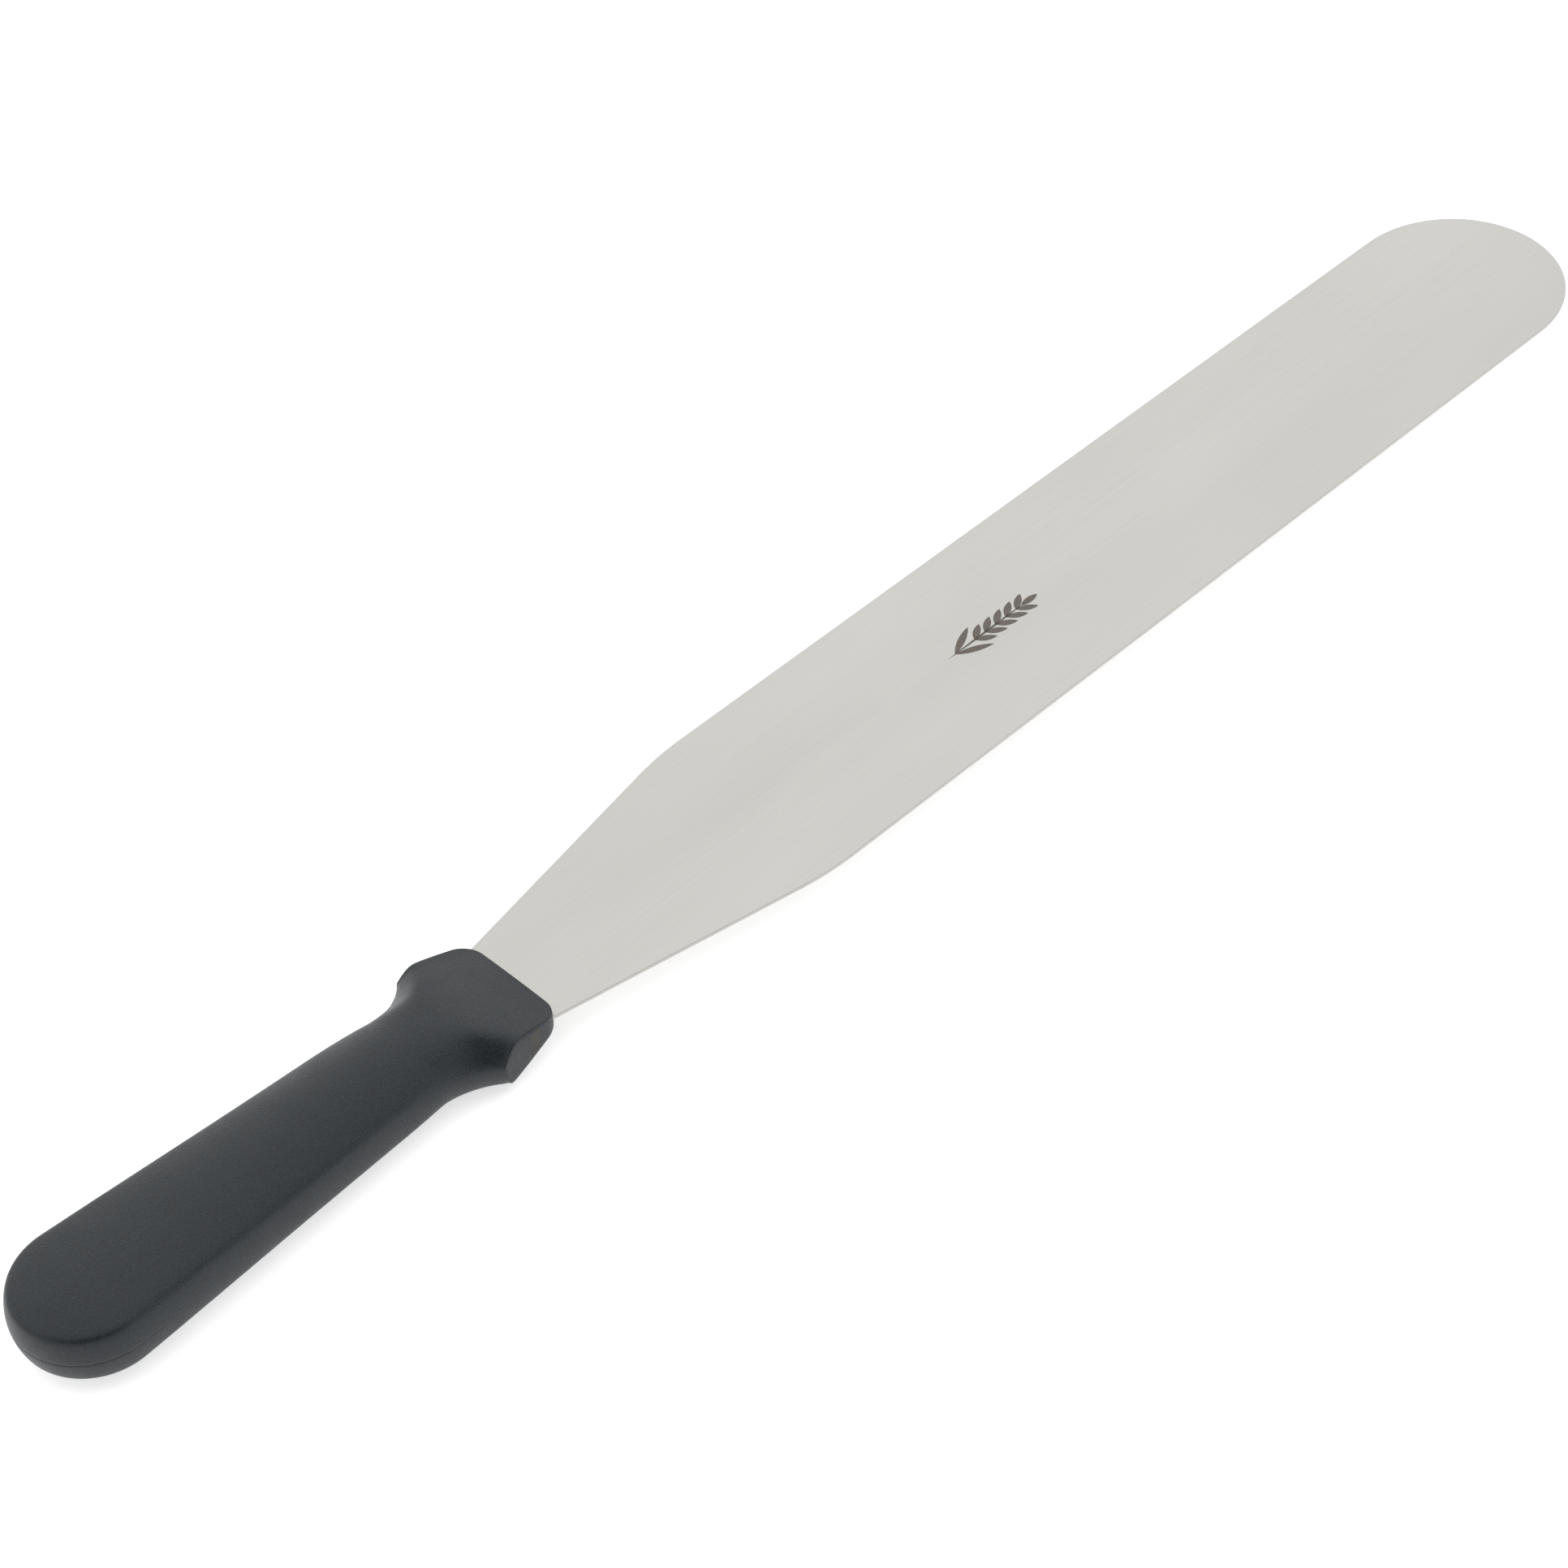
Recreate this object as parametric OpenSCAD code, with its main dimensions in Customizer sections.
// Straight icing spatula: a round-ended steel blade whose hidden, pierced tang is moulded into a plastic
// handle. +X points to the tip of the blade and +Z stands off the flat of the blade.
// The origin is under the middle of the overall length, level with the lowest point of the handle.

/* [Blade] */
// Length of the blade in front of the handle
blade_length = 355.6; // [250:0.1:400]
// Width of the parallel part of the blade
blade_width = 57.15; // [45:0.05:70]
// Width of the blade where it leaves the handle
neck_width = 29.6; // [24:0.1:31]
// Distance from the handle to the corner where the tapered neck would meet the full width
shoulder_distance = 69.8; // [50:0.1:100]
// Radius that rounds that corner
shoulder_radius = 80; // [20:1:120]
// Thickness of the sheet at the neck and the tang
sheet_thickness = 0.9; // [0.8:0.05:1.4]
// Thickness of the blade at its tip, after both faces are ground
tip_thickness = 0.6; // [0.4:0.05:0.8]

/* [Tang] */
// Length of the tang behind the front of the handle
tang_length = 118; // [100:1:124]
// Width of the tang behind its taper
tang_width = 18; // [14:0.5:20]
// Diameter of the holes that the plastic fills
tang_hole_d = 8; // [4:0.5:10]
// Number of those holes
tang_holes = 3; // [1:1:4]
// Distance from one hole to the next
tang_hole_pitch = 25; // [15:1:25]

/* [Handle plan] */
// Overall length of the handle
handle_length = 136.4; // [132:0.1:150]
// Radius of the round butt
butt_radius = 17.8; // [16:0.1:20]
// Half-width of the grip at its narrow end, just behind the guard
waist_half_width = 13.5; // [13:0.1:14]
// Distance from the front of the handle to that narrow end
waist_distance = 35.2; // [33:0.1:38]
// Half-width of the guard at its back corners
guard_half_width = 18.6; // [18:0.1:19.5]
// Distance from the front of the handle to the back of the guard
guard_length = 19.4; // [18.5:0.1:20.5]
// Half-width of the guard at the front, before its corners are rounded
front_half_width = 15.3; // [14.5:0.1:16]
// Radius of the front corners
front_corner_radius = 5.6; // [4:0.1:6]
// Radius of the guard's back corners
guard_corner_radius = 0.8; // [0.5:0.1:1.5]
// Radius of the hollow between guard and grip
hollow_radius = 16; // [15:0.5:18]

/* [Handle thickness] */
// Half of the thickness at the butt
butt_half_thickness = 8.5; // [7:0.1:9.5]
// Half of the thickness of the grip near the guard
grip_half_thickness = 8.9; // [7.5:0.1:9.5]
// Half of the thickness of the guard at its back
guard_half_thickness = 8.1; // [7.5:0.1:9]
// Half of the thickness of the lip at the front
lip_half_thickness = 1.9; // [1.6:0.1:2.5]
// How far the faces fall from the middle to the sides at the butt
butt_crown = 1.9; // [1:0.1:3]
// The same on the narrow end of the grip
grip_crown = 3.9; // [2:0.1:4.5]
// The same on the guard
guard_crown = 0.35; // [0.1:0.05:1]

/* [Hidden] */
steel_colour = "silver";
plastic_colour = [0.25, 0.27, 0.29];

// Both pieces are drawn with X = 0 at the front of the handle, Y = 0 on the centre line and Z = 0 in the
// middle plane of the sheet, which is also the handle's parting plane.
tip_radius = blade_width / 2;
taper_angle = atan2((blade_width - neck_width) / 2, shoulder_distance);
shoulder_tangent = shoulder_radius * tan(taper_angle / 2);
shoulder_centre = [shoulder_distance + shoulder_tangent, tip_radius - shoulder_radius];
shoulder_steps = 8;
disc_facets = 180;
// The grinding that thins the blade starts just past the shoulder's curve.
grind_gap = 2;
grind_start = shoulder_centre.x + grind_gap;
// The neck's taper runs on into the handle until it has narrowed to the tang.
tang_start = -(neck_width - tang_width) / 2 / tan(taper_angle);
// Distance from the end of the tang to its last hole
tang_hole_margin = 14;

// How steeply the handle's side walls rise, and how much they bulge at the parting plane. Those of the
// guard are even. Those behind it take the values in wall_slopes at the places in wall_stops, and turn
// gentle in the hollow, to one value above the parting plane and another below it.
guard_wall_slope = 6;
wall_stops = [-125, -75, -50, -20];
wall_slopes = [2.6, 2.8, 2.8];
wall_bulge = 2.6;
hollow_slopes = [0.8, 1.4];
hollow_bulges = [4, 5];
// How far in from the outline the walls go on rising, and how gradually they stop
flat_distance = 9;
flat_rim = 2;
// How widely the rim between wall and face is rounded, and the valley between grip and guard. The guard's
// own rim is given as a share of its height.
butt_rim = 2;
grip_rim = 3;
hollow_rim = 1.2;
guard_rim = 0.6;
valley_rim = 2;
// The rim's rounding would lift the outline off the parting plane. It is taken off again over this distance.
foot_reach = 1;
// Stretches of X over which the butt turns into the grip: first the rim, then the faces
rim_fade = [-128, -70];
face_fade = [-125, -45];
// The shell is made of rungs from the outline to a spine on the centre line. The spine stops this far from
// the front, and the rungs this part of their length from the spine. Points stand closer near the outline.
spine_front = -12;
spine_gap = 0.18;
level_count = 10;
level_power = 2.6;
level_first = 0.02;
// Steps along each stretch of the outline
corner_steps = 6;
guard_side_steps = 5;
back_steps = 5;
hollow_steps = 9;
grip_side_steps = 14;
butt_steps = 14;

function mix(a, b, t) = a + (b - a) * t;
function ease(a, b, x) = let (t = min(1, max(0, (x - a) / (b - a)))) t * t * (3 - 2 * t);
function soft_min(a, b, k) = (a + b - sqrt((a - b) * (a - b) + k * k)) / 2;
function unit(a) = [cos(a), sin(a)];

// Half outline of the handle at its parting plane, from the front corner round to the end of the butt, made
// of arcs and the straight lines between them
guard_slope = atan2(guard_half_width - front_half_width, guard_length);
side_angle = 90 - guard_slope;
side_normal = unit(side_angle);
side_line = [-cos(guard_slope), sin(guard_slope)];
front_corner = let (edge = [0, front_half_width] - front_corner_radius * side_normal)
    edge + side_line * (edge.x + front_corner_radius) / cos(guard_slope);
back_corner = let (edge = [0, front_half_width] - guard_corner_radius * side_normal)
    edge + side_line * (edge.x + guard_length - guard_corner_radius) / cos(guard_slope);

butt_centre = [butt_radius - handle_length, 0];
waist = [-waist_distance, waist_half_width];
grip_angle = let (run = waist - butt_centre) atan2(run.y, run.x) + acos(butt_radius / norm(run));
grip_normal = unit(grip_angle);
grip_line = [-grip_normal.y, grip_normal.x];
hollow_centre = let (
        start = waist + hollow_radius * grip_normal,
        gap = start - back_corner,
        along = gap * grip_line,
        reach = hollow_radius + guard_corner_radius
    ) start + grip_line * (sqrt(along * along - gap * gap + reach * reach) - along);
corner_end = let (run = hollow_centre - back_corner) atan2(run.y, run.x);

function arc_stations(c, r, a0, a1, first, n) = [for (i = [first:n]) c + r * unit(mix(a0, a1, i / n))];
function line_stations(a, b, n) = [for (i = [1:n - 1]) mix(a, b, i / n)];

function last(list) = list[len(list) - 1];

corner_stations = arc_stations(front_corner, front_corner_radius, 0, side_angle, 0, corner_steps);
back_stations = arc_stations(back_corner, guard_corner_radius, side_angle, corner_end, 0, back_steps);
hollow_stations = arc_stations(
    hollow_centre, hollow_radius, corner_end + 180, grip_angle + 180, 1, hollow_steps
);
butt_stations = arc_stations(butt_centre, butt_radius, grip_angle, 180, 0, butt_steps);
guard_outline = concat(
    corner_stations,
    line_stations(last(corner_stations), back_stations[0], guard_side_steps),
    back_stations
);
grip_outline = concat(
    hollow_stations,
    line_stations(last(hollow_stations), butt_stations[0], grip_side_steps),
    butt_stations
);
half_outline = concat(guard_outline, grip_outline);
guard_chain = concat([[0, 0]], guard_outline);
grip_chain = concat([last(guard_outline)], grip_outline);
hollow_end = last(hollow_stations).x;
// The grip's shape turns into the guard's from just behind the hollow to just past the guard's back corners.
guard_fade = [hollow_end - 2, 1 - guard_length];

// Half-width of the handle, for the crown of its faces
function half_width(x) = lookup(x, [
    [butt_centre.x, butt_radius],
    [hollow_end, waist_half_width],
    [-guard_length, guard_half_width],
    [0, front_half_width]
]);
// How far a point is onto the guard, from 0 on the grip to 1
function on_guard(x) = ease(guard_fade[0], guard_fade[1], x);
// Half of the thickness on the centre line: the grip, cut down to a wedge towards the lip
function wedge(x) = mix(lip_half_thickness, guard_half_thickness, max(0, -x) / guard_length);
function middle_height(x) = soft_min(
    mix(butt_half_thickness, grip_half_thickness, ease(face_fade[0], face_fade[1], x)),
    wedge(x),
    valley_rim
);
function crown(x) = mix(
    mix(butt_crown, grip_crown, ease(face_fade[0], face_fade[1], x)),
    guard_crown,
    on_guard(x)
);
function grip_edge(x) = mix(
    mix(butt_rim, grip_rim, ease(rim_fade[0], rim_fade[1], x)),
    hollow_rim,
    on_guard(x)
);
function aside(x, y) = x < butt_centre.x ? norm([x - butt_centre.x, y]) / butt_radius : y / half_width(x);

// The value at x of a list of values at the wall's stops, with smooth steps from each stop to the next
function at_stops(x, values) = values[0] + [for (i = [1:len(values) - 1]) values[i] - values[i - 1]]
    * [for (i = [1:len(values) - 1]) ease(wall_stops[i - 1], wall_stops[i], x)];

// The height top, cut down near its edge by a bulging wall. d is the distance from the edge.
function cut_by_wall(top, slope, bulge, d, rim) = let (
        into = soft_min(d, flat_distance, flat_rim) - soft_min(0, flat_distance, flat_rim),
        wall = slope * sqrt(into * into + 2 * bulge * into)
    ) soft_min(wall, top, rim) - soft_min(0, top, rim) * exp(-into / foot_reach);

// Distance of the point p from the straight line from a to b, and from a chain of such lines
function to_line(p, a, b) = let (run = b - a, t = (p - a) * run / (run * run))
    norm(p - a - min(1, max(0, t)) * run);
function to_chain(p, chain) = min([for (i = [1:len(chain) - 1]) to_line(p, chain[i - 1], chain[i])]);

// Height over the parting plane of a point on the +Y side: the faces, cut down by the guard's walls and then
// by those of the hollow, grip and butt. The side is 0 above the parting plane and 1 below it.
function height(at, side) = let (
        face = middle_height(at.x) - crown(at.x) * pow(aside(at.x, at.y), 2),
        guard = cut_by_wall(
            face, guard_wall_slope, wall_bulge, to_chain(at, guard_chain), guard_rim * face
        ),
        slope = at_stops(at.x, concat(wall_slopes, hollow_slopes[side])),
        bulge = mix(wall_bulge, hollow_bulges[side], ease(wall_stops[2], wall_stops[3], at.x))
    ) max(0, cut_by_wall(guard, slope, bulge, to_chain(at, grip_chain), grip_edge(at.x)));

// A point of the surface on that side: s runs from 0 on the outline to 1 on the handle's spine
function surface_point(station, s, side) = let (
        spine = [min(spine_front, max(butt_centre.x, station.x)), 0],
        at = mix(station, spine, s)
    ) [at.x, at.y, height(at, side)];
function level_fraction(j) = (1 - spine_gap) * (level_first * j / level_count
    + (1 - level_first) * pow(j / level_count, level_power));

// One closed ring of the handle, level by level from its lower spine (-level_count) to its upper one
half_count = len(half_outline);
ring_count = 2 * half_count - 1;
function ring(j) = let (
        s = level_fraction(abs(j)),
        half = [for (station = half_outline) surface_point(station, s, j < 0 ? 1 : 0)],
        up = j < 0 ? -1 : 1
    ) concat(
        [for (p = half) [p.x, p.y, up * p.z]],
        [for (i = [half_count - 2:-1:0]) [half[i].x, -half[i].y, up * half[i].z]]
    );
shell_points = [for (j = [-level_count:level_count]) each ring(j)];
top_ring = 2 * level_count * ring_count;
shell_faces = concat(
    [
        for (j = [0:2 * level_count - 1], i = [0:ring_count - 1])
            let (k = (i + 1) % ring_count, a = j * ring_count, b = a + ring_count)
                [a + i, b + i, b + k, a + k]
    ],
    [for (i = [0:half_count - 3]) [i, i + 1, ring_count - 2 - i, ring_count - 1 - i]],
    [[half_count - 2, half_count - 1, half_count]],
    [
        for (i = [0:half_count - 3])
            [ring_count - 1 - i, ring_count - 2 - i, i + 1, i] + top_ring * [1, 1, 1, 1]
    ],
    [[half_count, half_count - 1, half_count - 2] + top_ring * [1, 1, 1]]
);

parting_height = -min([for (p = shell_points) p.z]);
front_x = (handle_length - blade_length) / 2;

// Outline of the working blade and its neck, without the round tip
module blade_outline() {
    side = concat(
        [[tang_start, tang_width / 2]],
        [
            for (i = [0:shoulder_steps])
                shoulder_centre + shoulder_radius * unit(90 + taper_angle * (1 - i / shoulder_steps))
        ],
        [[blade_length - tip_radius, tip_radius]]
    );
    polygon(concat(side, [for (i = [len(side) - 1:-1:0]) [side[i].x, -side[i].y]]));
}

// Upright disc of the given depth, centred on the blank's middle plane
module disc(x, r, depth) {
    translate([x, 0, 0]) cylinder(r = r, h = depth, center = true, $fn = disc_facets);
}

// Whole flat blank, tang included, of the given depth
module blank(depth) {
    tang_end = tang_width / 2 - tang_length;
    difference() {
        union() {
            linear_extrude(depth, center = true) blade_outline();
            disc(blade_length - tip_radius, tip_radius, depth);
            translate([tang_end, -tang_width / 2, -depth / 2]) cube([-tang_end, tang_width, depth]);
            disc(tang_end, tang_width / 2, depth);
        }
        for (i = [0:tang_holes - 1])
            disc(tang_hole_margin - tang_length + i * tang_hole_pitch, tang_hole_d / 2, 2 * depth);
    }
}

// Side view of the blank: even at the tang and neck, ground thinner from the shoulder to the tip
module ground_profile() {
    back = -2 * tang_length;
    polygon([
        [back, -sheet_thickness / 2],
        [grind_start, -sheet_thickness / 2],
        [blade_length, -tip_thickness / 2],
        [blade_length, tip_thickness / 2],
        [grind_start, sheet_thickness / 2],
        [back, sheet_thickness / 2]
    ]);
}

module blade() {
    color(steel_colour) translate([front_x, 0, parting_height]) intersection() {
        blank(2 * sheet_thickness);
        rotate([90, 0, 0]) linear_extrude(2 * blade_width, center = true) ground_profile();
    }
}

module handle() {
    color(plastic_colour) translate([front_x, 0, parting_height]) difference() {
        polyhedron(shell_points, shell_faces, convexity = 6);
        blank(sheet_thickness);
    }
}

blade();
handle();
